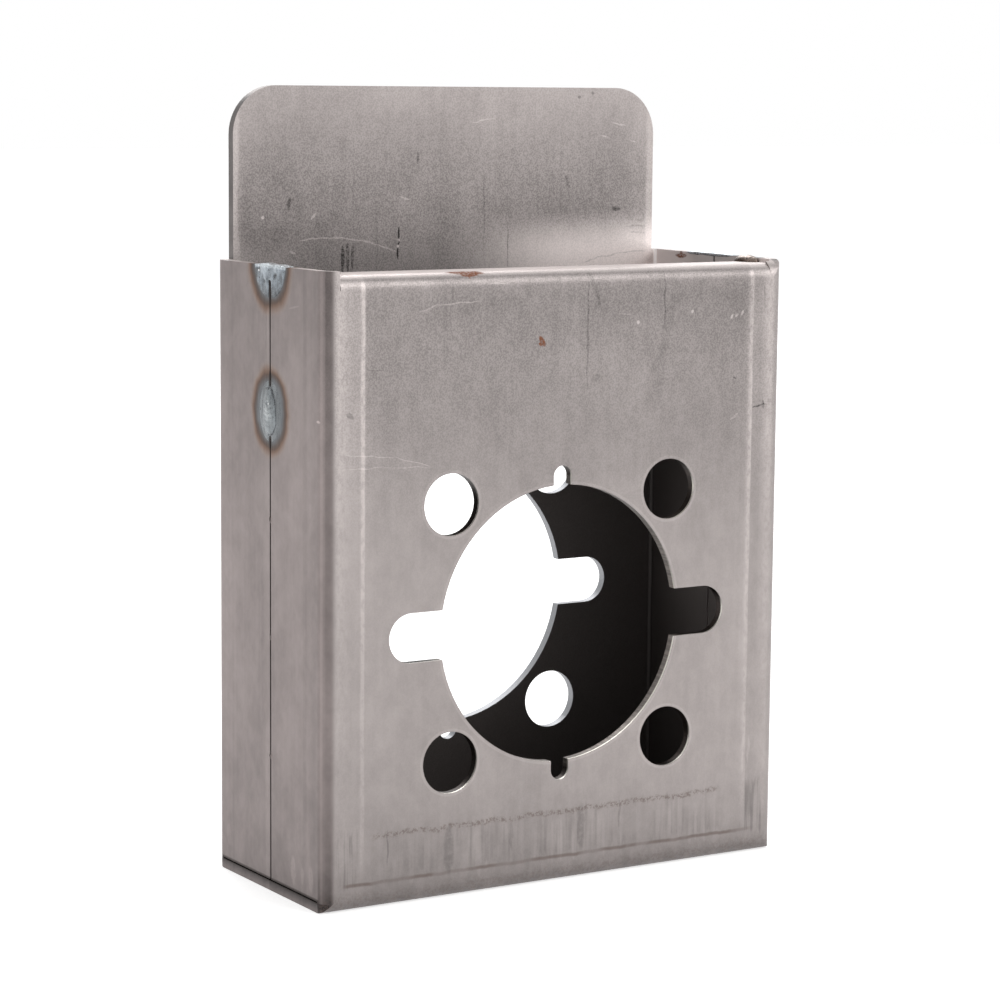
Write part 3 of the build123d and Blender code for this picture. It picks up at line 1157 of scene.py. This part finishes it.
SIDE_MARKS = marks_on(
    Face.LEFT,
    (((2.0, 92.4), (2.6, 92.5)), 0.25, 0.6),
    (((12.0, 4.2), (12.4, 8.0)), 0.9, 0.16),
    (((5.0, 4.2), (5.4, 7.4)), 0.9, 0.13),
    (((8.4, 5.0), (8.6, 7.0)), 0.7, 0.10),
    (((39.0, 6.0), (39.4, 9.0)), 0.8, 0.08),
    (((23.0, 103.0), (23.0, 116.0)), 0.14, -0.2),
    (((10.0, 113.2), (13.4, 112.6)), 0.2, 0.16),
    (((24.6, 30.0), (25.0, 68.0)), 0.5, -0.05),
    (((23.2, 4.0), (23.2, 34.0)), 0.5, 0.06),
)
RUST_MARKS = marks_on(
    Face.FRONT,
    (((46.7, 106.1), (47.2, 105.3)), 0.5, 1.0),
    (((46.4, 105.2),), 0.3, 1.0),
    (((27.4, 119.0), (34.0, 119.0)), 0.34, 1.0),
    (((30.0, 118.7), (32.6, 118.7)), 0.55, 1.2),
    (((31.1, 118.6), (31.2, 117.9)), 0.2, 1.0),
) + marks_on(
    Face.RIGHT_INSIDE,
    (((31.6, 119.2), (34.8, 119.0)), 0.42, 1.0),
    (((33.0, 119.5),), 0.6, 0.8),
)


@dataclass(frozen=True)
class PaleFloor(Finish):
    """White studio floor that shows as the background and keeps the object's soft shadow."""

    title: str = "pale_studio_floor"
    colour: Colour = (0.86, 0.86, 0.86)
    glow: float = 0.58
    roughness: float = 0.9
    specular: float = 0.1

    def dress(self, graph: Graph, shader: bpy.types.Node) -> None:
        """Give the shader a matt white that glows only for rays that show it.

        Args:
            graph: the material's tree.
            shader: its principled shader.
        """
        at = Surface.read(graph)
        dust = graph.noise(at.point, (180.0, 180.0, 180.0), 3.0)
        shade = graph.rise(dust, 0.2, 0.8, (0.985, 1.0))
        graph.feed(shader.inputs["Base Color"], graph.scaled(graph.join(*self.colour), shade))
        shader.inputs["Roughness"].default_value = self.roughness
        shader.inputs["Specular IOR Level"].default_value = self.specular
        graph.feed(shader.inputs["Emission Color"], (1.0, 1.0, 1.0))
        graph.feed(shader.inputs["Emission Strength"], graph.times(seen_directly(graph), self.glow))


def seen_directly(graph: Graph) -> Socket:
    """Tell rays that show the surroundings from rays that light the object.

    Args:
        graph: the tree.

    Returns:
        1 for rays from the camera and for rays that metal or glass sends on, and 0 for the rest.
    """
    path = graph.node("ShaderNodeLightPath").outputs
    mirrored = graph.math("MAXIMUM", path["Is Glossy Ray"], path["Is Transmission Ray"])
    return graph.math("MAXIMUM", path["Is Camera Ray"], mirrored)


@dataclass(frozen=True)
class Lamp:
    """A soft box: where it stands, how wide it is and how strong, aimed at the middle of the box."""

    name: str
    place: Point
    width: float
    power: float


@dataclass
class Studio:
    """Camera, soft boxes, white surroundings and floor."""

    camera_place: Point = (-316.24, -512.6, 153.87)
    yaw: float = 31.64
    pitch: float = 7.707
    roll: float = 0.503
    lens: float = 110.48
    aim: Point = (0.0, 0.0, 70.0)
    sensor: float = 36.0
    nearest: float = 10.0
    ambient: float = 0.5
    floor_reach: float = 6000.0
    lamps: tuple[Lamp, ...] = (
        Lamp("key_soft_box", (750.0, -1150.0, 900.0), 900.0, 9.0),
        Lamp("side_soft_box", (-1300.0, -500.0, 700.0), 1000.0, 1.5),
        Lamp("rear_soft_box", (300.0, 900.0, 1000.0), 900.0, 9.0),
    )

    def camera(self) -> bpy.types.Object:
        """Stand the camera where the box is seen from its left, a little above its middle.

        Returns:
            The camera.
        """
        yaw, pitch, roll = (math.radians(angle) for angle in (self.yaw, self.pitch, self.roll))
        ahead = Vector((math.sin(yaw) * math.cos(pitch), math.cos(yaw) * math.cos(pitch), -math.sin(pitch)))
        level = Vector((math.cos(yaw), -math.sin(yaw), 0.0))
        upward = level.cross(ahead)
        right = level * math.cos(roll) + upward * math.sin(roll)
        upward = upward * math.cos(roll) - level * math.sin(roll)
        made = bpy.data.objects.new("camera", bpy.data.cameras.new("camera"))
        made.data.lens = self.lens
        made.data.sensor_width = self.sensor
        made.data.clip_start = self.nearest * MM
        turn = Matrix((right, upward, -ahead)).transposed().to_4x4()
        made.matrix_world = Matrix.Translation(Vector(self.camera_place) * MM) @ turn
        bpy.context.scene.collection.objects.link(made)
        bpy.context.scene.camera = made
        return made

    def light(self) -> list[bpy.types.Object]:
        """Hang the soft boxes.

        Returns:
            The lamps.
        """
        made = []
        for lamp in self.lamps:
            data = bpy.data.lights.new(lamp.name, "AREA")
            data.size = lamp.width * MM
            data.energy = lamp.power
            light = bpy.data.objects.new(lamp.name, data)
            toward = Vector(self.aim) - Vector(lamp.place)
            turn = toward.to_track_quat("-Z", "Y").to_matrix().to_4x4()
            light.matrix_world = Matrix.Translation(Vector(lamp.place) * MM) @ turn
            bpy.context.scene.collection.objects.link(light)
            made.append(light)
        return made

    def surroundings(self) -> bpy.types.World:
        """Put the box in white surroundings that light it at a plain level.

        Returns:
            The world.
        """
        world = bpy.data.worlds.new("white_surroundings")
        world.use_nodes = True
        graph = Graph(world.node_tree)
        shader = graph.node("ShaderNodeBackground")
        graph.feed(shader.inputs["Color"], (1.0, 1.0, 1.0))
        strength = graph.add(graph.times(seen_directly(graph), 1.0 - self.ambient), self.ambient)
        graph.feed(shader.inputs["Strength"], strength)
        graph.feed(graph.node("ShaderNodeOutputWorld").inputs["Surface"], shader.outputs[0])
        bpy.context.scene.world = world
        return world

    def floor(self) -> bpy.types.Object:
        """Lay the floor under the box.

        Returns:
            The floor, which is not part of the object.
        """
        reach = self.floor_reach
        corners = [(-reach, -reach), (reach, -reach), (reach, reach), (-reach, reach)]
        mesh = bpy.data.meshes.new("studio_floor")
        mesh.from_pydata([(x * MM, y * MM, 0.0) for x, y in corners], [], [(0, 1, 2, 3)])
        made = bpy.data.objects.new("studio_floor", mesh)
        made.data.materials.append(PaleFloor().material())
        bpy.context.scene.collection.objects.link(made)
        return made

    def set_up(self) -> None:
        """Set the whole studio up and report it."""
        bpy.context.scene.view_settings.view_transform = "Standard"
        self.camera()
        self.light()
        self.surroundings()
        self.floor()
        log.info("studio: camera, %d soft boxes, floor", len(self.lamps))


def put_on(mesh: bpy.types.Mesh, finish: Finish, slot: Slot, *nodes: str) -> bpy.types.Object:
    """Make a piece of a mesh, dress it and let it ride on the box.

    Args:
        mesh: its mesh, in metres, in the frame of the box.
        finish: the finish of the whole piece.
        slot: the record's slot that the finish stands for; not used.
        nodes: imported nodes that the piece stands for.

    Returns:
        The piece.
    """
    piece = bpy.data.objects.new(mesh.name, mesh)
    mesh.materials.append(finish.material())
    mesh.polygons.foreach_set("use_smooth", [True] * len(mesh.polygons))
    bpy.context.scene.collection.objects.link(piece)
    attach(piece, "root")
    if nodes:
        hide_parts(*nodes)
    log.info("piece %s: %d faces", piece.name, len(mesh.polygons))
    return piece


def closed_skin(name: str, upper: np.ndarray, under: np.ndarray, ring: bool) -> bpy.types.Mesh:
    """Return a closed mesh between two grids of points.

    Args:
        name: name of the mesh.
        upper: points of the outer surface, rows by columns by 3, in millimetres.
        under: points of the hidden surface, in the same order.
        ring: whether the columns close on themselves.

    Returns:
        The mesh, in metres.
    """
    rows, columns = upper.shape[:2]
    points = np.concatenate([upper.reshape(-1, 3), under.reshape(-1, 3)]) * MM
    shift = rows * columns
    faces: list[tuple[int, ...]] = []
    last = columns if ring else columns - 1
    for row in range(rows - 1):
        for column in range(last):
            after = (column + 1) % columns
            quad = (row * columns + column, row * columns + after,
                    (row + 1) * columns + after, (row + 1) * columns + column)
            faces.append(quad)
            faces.append(tuple(index + shift for index in reversed(quad)))
    rim_rows = (rows - 1,) if ring else (0, rows - 1)
    for row in rim_rows:
        for column in range(last):
            first, after = row * columns + column, row * columns + (column + 1) % columns
            wall = (first, first + shift, after + shift, after)
            faces.append(wall if row == 0 else tuple(reversed(wall)))
    if not ring:
        for column in (0, columns - 1):
            for row in range(rows - 1):
                first, after = row * columns + column, (row + 1) * columns + column
                wall = (first, after, after + shift, first + shift)
                faces.append(wall if column == 0 else tuple(reversed(wall)))
    mesh = bpy.data.meshes.new(name)
    mesh.from_pydata(points.tolist(), [], faces)
    mesh.validate()
    mesh.update()
    return mesh


def bell(distance: np.ndarray, width: float) -> np.ndarray:
    """Return a smooth hump of height 1 at distance 0."""
    return np.exp(-((distance / width) ** 2))


def oval(
    half_width: float, half_length: float, rings: int, spokes: int, first: float = 0.004
) -> tuple[np.ndarray, np.ndarray, np.ndarray]:
    """Return places in rings that fill an oval.

    Args:
        half_width: half its size across.
        half_length: half its size along.
        rings: number of rings.
        spokes: number of places in a ring.
        first: how far out the first ring is, as a share.

    Returns:
        How far out each ring is, as a share, and the places across and along.
    """
    radii = np.linspace(first, 1.0, rings)[:, None]
    turns = np.linspace(0.0, 2.0 * math.pi, spokes, endpoint=False)[None, :]
    return radii, half_width * radii * np.cos(turns), half_length * radii * np.sin(turns)


@dataclass
class Ripple:
    """Slow and fine waves on a weld bead, the same each time for one seed."""

    seed: int
    waves: int = 9
    reach: float = 6.0

    def __post_init__(self) -> None:
        """Draw the waves."""
        draw = np.random.default_rng(self.seed)
        self.turns = draw.uniform(0.0, 2.0 * math.pi, self.waves)
        self.angles = draw.uniform(0.0, math.pi, self.waves)
        self.lengths = draw.uniform(0.9, self.reach, self.waves)

    def read(self, u: np.ndarray, v: np.ndarray) -> np.ndarray:
        """Read the waves.

        Args:
            u: places across.
            v: places along.

        Returns:
            Their height, between about -1 and 1.
        """
        total = np.zeros_like(u)
        for turn, angle, length in zip(self.turns, self.angles, self.lengths):
            along = u * math.cos(angle) + v * math.sin(angle)
            total += np.sin(2.0 * math.pi * along / length + turn) * length / self.reach
        return total / math.sqrt(self.waves)


@dataclass
class MiddleWeld:
    """Oval tack over the seam, below the top: a raised core with a crater in a low, flat skirt."""

    side: Side
    height: float = MIDDLE_WELD_HEIGHT
    half_width: float = 4.3
    half_length: float = 5.9
    core_half_width: float = 2.75
    core_half_length: float = 4.9
    skirt_rise: float = 0.13
    core_rise: float = 0.46
    crater: Spot = (0.0, 1.4)
    root_depth: float = 1.2
    rings: int = 56
    spokes: int = 128

    def rise_at(self, u: np.ndarray, v: np.ndarray) -> np.ndarray:
        """Return the height of the bead over the sheet.

        Args:
            u: places across the seam.
            v: places along the seam, up.

        Returns:
            The height in millimetres.
        """
        waves = Ripple(11 + self.side.value)
        edge = np.hypot(u / self.half_width, v / self.half_length)
        skirt = self.skirt_rise * (1.0 - np.clip(edge, 0, 1) ** 4) * (1.0 + 0.15 * waves.read(u, v))
        bent = u + 0.12 * waves.read(v, u)
        narrow = 1.0 - 0.10 * np.clip(v / self.core_half_length, -1, 1)
        inner = np.hypot(bent / (self.core_half_width * narrow), v / self.core_half_length)
        core = self.core_rise * np.clip(1.0 - inner**2, 0, 1) ** 0.62
        drop = np.hypot(bent / 1.25, (v - 1.2) / 2.6)
        core += 0.12 * np.clip(1.0 - drop**2, 0, 1) ** 0.5
        from_crater = np.hypot(u - self.crater[0], v - self.crater[1])
        core += 0.07 * bell(from_crater - 0.75, 0.22) - 0.26 * bell(from_crater, 0.4)
        arcs = np.sin(2.0 * math.pi * np.hypot(u * 0.8, v - 3.0) / 0.85)
        core += 0.022 * arcs * (inner < 1.0) * np.clip(1.0 - inner, 0, 1) * 2.0
        slit = bell(u, 0.34) * (np.clip((np.abs(v) - 4.1) / 0.8, 0, 1))
        return (skirt + core) * (1.0 - slit) - 0.25 * slit - 0.05 * (edge > BEAD_RIM)

    def build(self) -> bpy.types.Object:
        """Build the bead on its side of the box.

        Returns:
            The piece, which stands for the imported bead.
        """
        _, u, v = oval(self.half_width, self.half_length, self.rings, self.spokes)
        out = self.side.value * (BOX.half_width + self.rise_at(u, v))
        within = np.full_like(u, self.side.value * (BOX.half_width - self.root_depth))
        upper = np.stack([out, BOX.seam_y + u * self.side.value * -1, self.height + v], axis=-1)
        narrow = np.clip(u, -0.19, 0.19)
        under = np.stack([within, BOX.seam_y + narrow * self.side.value * -1, self.height + v * 0.8], axis=-1)
        name = f"{self.side.name.lower()}_seam_weld_middle"
        return put_on(closed_skin(f"{name}_bead", upper, under, True), WeldMetal(), Slot.WELD, name)


@dataclass(frozen=True)
class Patch:
    """Oval of fused metal at the top of a seam: its middle along Y from the seam, half length and drop."""

    middle: float
    half_length: float
    drop: float


@dataclass
class TopWeld:
    """Tack at the top end of the seam: a fused half disc that rolls over the edge of the sheet."""

    side: Side
    patches: tuple[Patch, ...]
    lumps: tuple[float, ...]
    lump_rise: float = 0.24
    pits: tuple[Point, ...] = ((4.3, 0.7, 0.30), (-1.9, 1.9, 0.22), (-2.6, 1.6, 0.2), (2.2, 2.9, 0.10))
    pit_radius: float = 0.42
    corner_radius: float = 0.35
    film: float = 0.20
    over: float = 0.45
    columns: int = 170
    rows: int = 120
    root_depth: float = 0.5

    def fused_at(self, u: np.ndarray, below: np.ndarray, inner: np.ndarray) -> np.ndarray:
        """Return how far the metal is fused at a place, from 0 past its edge to 1.

        Args:
            u: places along the edge of the sheet, from the seam.
            below: how far under the edge, on the outside.
            inner: how far under the edge, on the inside.

        Returns:
            The share.
        """
        edge = np.full_like(u, 9.0)
        for patch in self.patches:
            share = np.hypot((u - patch.middle) / patch.half_length, below / patch.drop)
            ragged = 1.0 + 0.06 * np.sin(u * 2.3 + patch.middle)
            rolled = np.hypot((u - patch.middle) / patch.half_length, inner / (self.over * ragged))
            edge = np.minimum(edge, np.maximum(share, rolled))
        return np.clip(1.0 - edge**3, 0.0, 1.0) ** 0.7 - 0.3 * (edge > BEAD_RIM)

    def build(self) -> bpy.types.Object:
        """Build the skin down the outside, over the top edge and a little way down the inside.

        Returns:
            The piece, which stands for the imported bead.
        """
        waves = Ripple(29 + self.side.value, reach=5.0)
        start = min(patch.middle - patch.half_length for patch in self.patches)
        end = max(patch.middle + patch.half_length for patch in self.patches)
        down = max(patch.drop for patch in self.patches)
        u, s = np.meshgrid(
            np.linspace(start, end, self.columns), np.linspace(0.0, down + BOX.sheet + self.over, self.rows)
        )
        below = np.clip(down - s, 0.0, None)
        inner = np.clip(s - down - BOX.sheet, 0.0, None)
        across = np.clip(s - down, 0.0, BOX.sheet)
        fused = self.fused_at(u, below, inner)
        rise = fused * (self.film + 0.07 * waves.read(u, s))
        for lump in self.lumps:
            hump = bell(np.hypot((u - lump) / 1.9, (s - down - 0.6) / 1.5), 1.0)
            rise += self.lump_rise * hump * np.clip(fused, 0, 1)
        for pit_u, pit_below, depth in self.pits:
            rise -= depth * bell(np.hypot(u - pit_u, below - pit_below), self.pit_radius) * (s < down)
        slit = bell(u, 0.40) * np.clip((below - 2.6) / 0.5, 0, 1)
        rise = rise * (1.0 - slit) - 0.5 * slit
        corner = np.clip(1.0 - np.abs(s - down) / self.corner_radius, 0, 1)
        far_corner = np.clip(1.0 - np.abs(s - down - BOX.sheet) / self.corner_radius, 0, 1)
        lean = np.where(s < down, 1.0 - 0.5 * corner, 0.5 * corner)
        lift = np.where((s >= down) & (inner <= 0), 1.0 - 0.5 * (corner + far_corner), 0.0)
        lift = lift + np.where(s < down, 0.5 * corner, 0.0) + np.where(inner > 0, 0.5 * far_corner, 0.0)
        back = np.where(inner > 0, 1.0 - 0.5 * far_corner, np.where(s >= down, 0.5 * far_corner, 0.0))
        outward = BOX.half_width - across + rise * lean - rise * back
        up = BOX.height - below - inner + rise * lift
        upper = np.stack([self.side.value * outward, BOX.seam_y + u, up], axis=-1)
        deep = self.root_depth
        inside_x = np.clip(BOX.half_width - across, BOX.half_width - BOX.sheet + deep, BOX.half_width - deep)
        inside_z = np.minimum(BOX.height - below - inner, BOX.height - deep)
        under = np.stack([self.side.value * inside_x, BOX.seam_y + u * 0.96, inside_z], axis=-1)
        if self.side is Side.RIGHT:
            upper, under = upper[:, ::-1], under[:, ::-1]
        name = f"{self.side.name.lower()}_seam_weld_top"
        return put_on(closed_skin(f"{name}_bead", upper, under, False), EDGE_WELD, Slot.WELD, name)


@dataclass
class FlangeWeld:
    """Tack on the filled gap between the right side and the free end of the return flange."""

    node: str = "right_flange_weld"
    from_front: float = 9.1
    half_length: float = 3.5
    half_width: float = 1.72
    gap_middle: float = 49.2
    rise: float = 1.28
    rings: int = 36
    spokes: int = 96

    def build(self) -> bpy.types.Object:
        """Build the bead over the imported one, and give the filled gap the finish of the sheet.

        Returns:
            The piece.
        """
        radii, u, v = oval(self.half_width, self.half_length, self.rings, self.spokes)
        waves = Ripple(47, reach=3.0)
        dome = self.rise * np.clip(1.0 - radii**2.4, 0, 1) ** 0.6 * np.ones_like(u)
        arcs = 0.05 * np.sin(2.0 * math.pi * np.hypot(u, v + 4.0) / 0.9) * (1.0 - radii)
        lift = dome * (1.0 + 0.05 * waves.read(u, v)) + arcs - 0.06 * (radii > BEAD_RIM)
        middle_y = self.from_front - BOX.half_depth
        upper = np.stack([self.gap_middle + u, middle_y + v, BOX.front_top + lift], axis=-1)
        narrow = np.clip(u, -0.70, 0.70)
        floor = np.full_like(u, BOX.front_top - BOX.sheet / 2)
        under = np.stack([self.gap_middle + narrow, middle_y + v * 0.9, floor], axis=-1)
        dress_node(self.node, STEEL)
        return put_on(closed_skin(f"{self.node}_bead", upper, under, True), BROWN_WELD, Slot.WELD)


@dataclass
class SeamBurrs:
    """Small torn nubs that bridge each seam where the blank was held in its sheet."""

    side: Side
    heights: tuple[float, ...] = (72.0, 49.5, 26.5)
    half_length: float = 0.75
    half_width: float = 0.42
    rise: float = 0.16
    depth: float = 1.0
    rings: int = 10
    spokes: int = 28

    def build(self) -> list[bpy.types.Object]:
        """Build one nub for each height.

        Returns:
            The pieces.
        """
        made = []
        for number, height in enumerate(self.heights, start=1):
            radii, u, v = oval(self.half_width, self.half_length, self.rings, self.spokes, 0.01)
            waves = Ripple(60 + number, reach=1.5)
            lift = self.rise * (1.0 - radii**2) * (1.0 + 0.5 * waves.read(u, v)) - 0.03 * (radii > 0.98)
            skewed = u + 0.28 * v / self.half_length * self.half_width
            out = self.side.value * (BOX.half_width + lift)
            upper = np.stack([out, BOX.seam_y - skewed * self.side.value, height + v], axis=-1)
            within = np.full_like(u, self.side.value * (BOX.half_width - self.depth))
            under = np.stack([within, BOX.seam_y - skewed * self.side.value * 0.5, height + v * 0.8], axis=-1)
            name = f"{self.side.name.lower()}_seam_burr_{number}"
            mesh = closed_skin(name, upper, under, True)
            made.append(put_on(mesh, STEEL, Slot.STEEL))
        return made


WELD_HEATS = tuple(
    Heat((side.value * BOX.half_width, BOX.seam_y, height), half_width, half_height)
    for side in Side
    for height, half_width, half_height in ((MIDDLE_WELD_HEIGHT, 7.4, 8.2), (120.6, 8.7, 9.3))
) + (Heat((50.0, -13.1, 119.6), 3.4, 3.4),)
STEEL = BareSteel(marks=FRONT_MARKS + TAB_MARKS + SIDE_MARKS, rust=RUST_MARKS, heats=WELD_HEATS)
EDGE_WELD = WeldMetal(
    title="edge_weld_metal",
    heights=(
        (0.0, (0.05, 0.055, 0.06)),
        (0.10, (0.12, 0.13, 0.14)),
        (0.28, (0.20, 0.225, 0.25)),
        (0.50, (0.27, 0.30, 0.33)),
        (1.0, (0.50, 0.54, 0.57)),
    ),
    full_height=0.55,
    painted_glint=(52.1, 3.6, 119.0),
)
BROWN_WELD = WeldMetal(
    title="flange_weld_metal",
    heights=(
        (0.0, (0.10, 0.07, 0.055)),
        (0.5, (0.20, 0.16, 0.14)),
        (1.0, (0.30, 0.26, 0.24)),
    ),
    full_height=1.4,
    painted_glint=(52.2, -13.0, 90.0),
)


def dress_node(node: str, finish: Finish) -> bpy.types.Object:
    """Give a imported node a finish.

    Args:
        node: its name.
        finish: the finish.

    Returns:
        The node's object.
    """
    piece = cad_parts[node]
    if not piece.material_slots:
        piece.data.materials.append(None)
    for holder in piece.material_slots:
        holder.link = "OBJECT"
        holder.material = finish.material()
    log.info("node %s: %s", piece.name, finish.title)
    return piece


@dataclass
class FoldedSheet:
    """The folded body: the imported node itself, with the bare-steel finish."""

    node: str = "folded_body"

    def dress(self) -> bpy.types.Object:
        """Give the node its finish and return it."""
        return dress_node(self.node, STEEL)


def main() -> None:
    """Build the studio and dress the lock box, piece by piece."""
    logging.basicConfig(level=logging.INFO, format="%(message)s")
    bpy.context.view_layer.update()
    Studio().set_up()
    FoldedSheet().dress()
    half_disc = Patch(0.0, 6.3, 6.2)
    top_welds = {
        Side.LEFT: ((half_disc,), (-4.0, 2.2)),
        Side.RIGHT: ((half_disc, Patch(6.6, 3.4, 1.8)), (-0.6, 5.9)),
    }
    for side in Side:
        MiddleWeld(side).build()
        TopWeld(side, *top_welds[side]).build()
        SeamBurrs(side).build()
    FlangeWeld().build()


if __name__ == "__main__":
    main()
